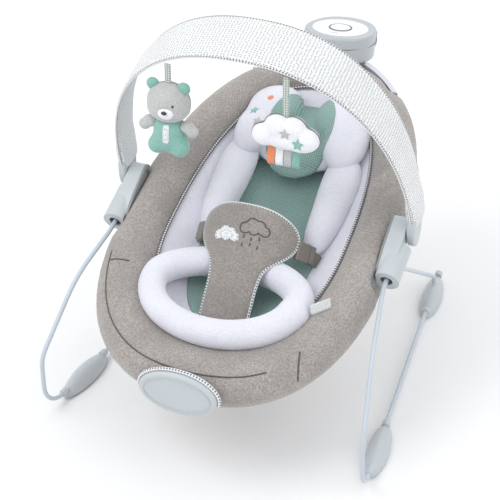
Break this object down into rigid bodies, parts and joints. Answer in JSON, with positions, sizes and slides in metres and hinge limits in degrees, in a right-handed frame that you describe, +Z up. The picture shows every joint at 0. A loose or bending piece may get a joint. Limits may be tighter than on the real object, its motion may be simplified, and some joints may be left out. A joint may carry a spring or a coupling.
{
  "type": "infant bouncer seat",
  "caption": "Padded infant bouncer on folding wire legs with a tilting toy bar, hanging toys, a buckled crotch restraint and a round control unit at the head end.",
  "frame": {"origin": "centre of the bounding box's footprint on the floor", "axes": "+Y towards the head end, +X across the seat, +Z up"},
  "size_m": [0.4938, 0.6897, 0.5757],
  "materials": {
    "frame_tube": "satin powder coat",
    "wire": "satin powder coat",
    "shell_plastic": "fine satin moulded",
    "inner_plastic": "matte moulded",
    "unit_plastic": "semi gloss moulded",
    "white_plastic": "gloss",
    "button_plastic": "gloss",
    "steel": "plain",
    "sole_rubber": "matte",
    "plush_grey": "heathered short plush",
    "soft_white": "soft brushed knit",
    "mesh_mint": "small hole knit",
    "restraint_grey": "heathered knit",
    "bar_fabric": "printed cotton",
    "bear_grey": "velour",
    "bear_mint": "velour",
    "cloud_white": "velour",
    "ribbon": "satin ribbon",
    "dotted_strap": "woven",
    "webbing": "woven webbing",
    "buckle_plastic": "satin moulded",
    "tag_fabric": "woven label",
    "board": "solder mask",
    "cell": "wrapped",
    "magnet": "plated",
    "coil": "enamelled wire"
  },
  "bodies": {
    "seat": {"upper_frame_tube": "frame_tube", "lower_frame_tube": "frame_tube", "hub_cover_left": "shell_plastic", "hub_cover_right": "shell_plastic", "toe_cover": "shell_plastic", "neck_cover": "shell_plastic", "hub_plate_left": "inner_plastic", "hub_plate_right": "inner_plastic", "toe_clip": "inner_plastic", "neck_block": "inner_plastic", "speaker": "inner_plastic", "unit_base": "unit_plastic", "unit_ring": "unit_plastic", "control_panel": "white_plastic", "pitch_pins": "steel", "toy_bar_pins": "steel", "arm_axle": "steel", "unit_screws": "steel", "arm_spring": "steel", "outer_pad": "plush_grey", "seat_liner": "soft_white", "side_bolster_left": "soft_white", "side_bolster_right": "soft_white", "leg_ring": "soft_white", "headrest_pillow": "soft_white", "mesh_panel": "mesh_mint", "headrest_mesh": "mesh_mint", "crotch_restraint": "restraint_grey", "waist_straps": "webbing", "buckles": "buckle_plastic", "side_tag": "tag_fabric", "main_board": "board", "battery_cells": "cell", "drive_magnet": "magnet"},
    "yoke_left": {"yoke_left": "inner_plastic"},
    "yoke_right": {"yoke_right": "inner_plastic"},
    "leg_left": {"leg_socket_left": "inner_plastic", "leg_wire_left": "wire", "feet_left": "shell_plastic", "foot_soles_left": "sole_rubber"},
    "leg_right": {"leg_socket_right": "inner_plastic", "leg_wire_right": "wire", "feet_right": "shell_plastic", "foot_soles_right": "sole_rubber"},
    "toy_bar": {"toy_bar_strip": "inner_plastic", "toy_bar_sleeve": "bar_fabric", "toy_bar_paddle_left": "shell_plastic", "toy_bar_paddle_right": "shell_plastic"},
    "bear": {"bear_head": "bear_grey", "bear_body": "bear_mint", "bear_strap": "dotted_strap"},
    "cloud_toy": {"cloud": "cloud_white", "cloud_strap": "dotted_strap", "cloud_ribbons": "ribbon"},
    "drive": {"drive_arm": "inner_plastic", "drive_coil": "coil"},
    "button": {"power_button": "button_plastic"},
    "battery_lid": {"battery_door": "unit_plastic"},
    "tongue_left": {"buckle_tongue_left": "buckle_plastic"},
    "tongue_right": {"buckle_tongue_right": "buckle_plastic"}
  },
  "joints": [
    {"name": "bounce_left", "type": "hinge", "parent": "seat", "child": "yoke_left", "pos_m": [-0.206, -0.07727, 0.24725], "axis": [1, 0, 0], "range_deg": [-4, 4], "stiffness_Nm_per_rad": 160},
    {"name": "bounce_right", "type": "hinge", "parent": "seat", "child": "yoke_right", "pos_m": [0.206, -0.07727, 0.24725], "axis": [1, 0, 0], "range_deg": [-4, 4], "stiffness_Nm_per_rad": 160},
    {"name": "leg_fold_left", "type": "hinge", "parent": "yoke_left", "child": "leg_left", "pos_m": [-0.206, -0.068, 0.251], "axis": [0, -0.9272, -0.3746], "range_deg": [0, 30]},
    {"name": "leg_fold_right", "type": "hinge", "parent": "yoke_right", "child": "leg_right", "pos_m": [0.206, -0.068, 0.251], "axis": [0, 0.9272, 0.3746], "range_deg": [0, 30]},
    {"name": "toy_bar_tilt", "type": "hinge", "parent": "seat", "child": "toy_bar", "pos_m": [0, -0.026, 0.285], "axis": [1, 0, 0], "range_deg": [-50, 25]},
    {"name": "bear_swing", "type": "hinge", "parent": "toy_bar", "child": "bear", "pos_m": [-0.1, -0.126, 0.5192], "axis": [1, 0, 0], "range_deg": [-30, 30]},
    {"name": "cloud_swing", "type": "hinge", "parent": "toy_bar", "child": "cloud_toy", "pos_m": [0.067, -0.126, 0.533], "axis": [1, 0, 0], "range_deg": [-30, 30]},
    {"name": "drive_rock", "type": "hinge", "parent": "seat", "child": "drive", "pos_m": [0, 0.32628, 0.39071], "axis": [1, 0, 0], "range_deg": [-3, 3], "stiffness_Nm_per_rad": 1.2, "deforming": ["arm_spring"]},
    {"name": "power_press", "type": "slide", "parent": "seat", "child": "button", "axis": [0, -0.1392, -0.9903], "range_m": [0, 0.0011], "stiffness_N_per_m": 400},
    {"name": "battery_door_off", "type": "slide", "parent": "seat", "child": "battery_lid", "axis": [0, -0.1392, -0.9903], "range_m": [0, 0.02]},
    {"name": "buckle_release_left", "type": "slide", "parent": "seat", "child": "tongue_left", "axis": [-0.5592, 0.6242, -0.5456], "range_m": [0, 0.016], "deforming": ["waist_straps"]},
    {"name": "buckle_release_right", "type": "slide", "parent": "seat", "child": "tongue_right", "axis": [0.5592, 0.6242, -0.5456], "range_m": [0, 0.016], "deforming": ["waist_straps"]}
  ],
  "couplings": [
    {"joint": "bounce_left", "follows": "bounce_right", "ratio": 1}
  ]
}
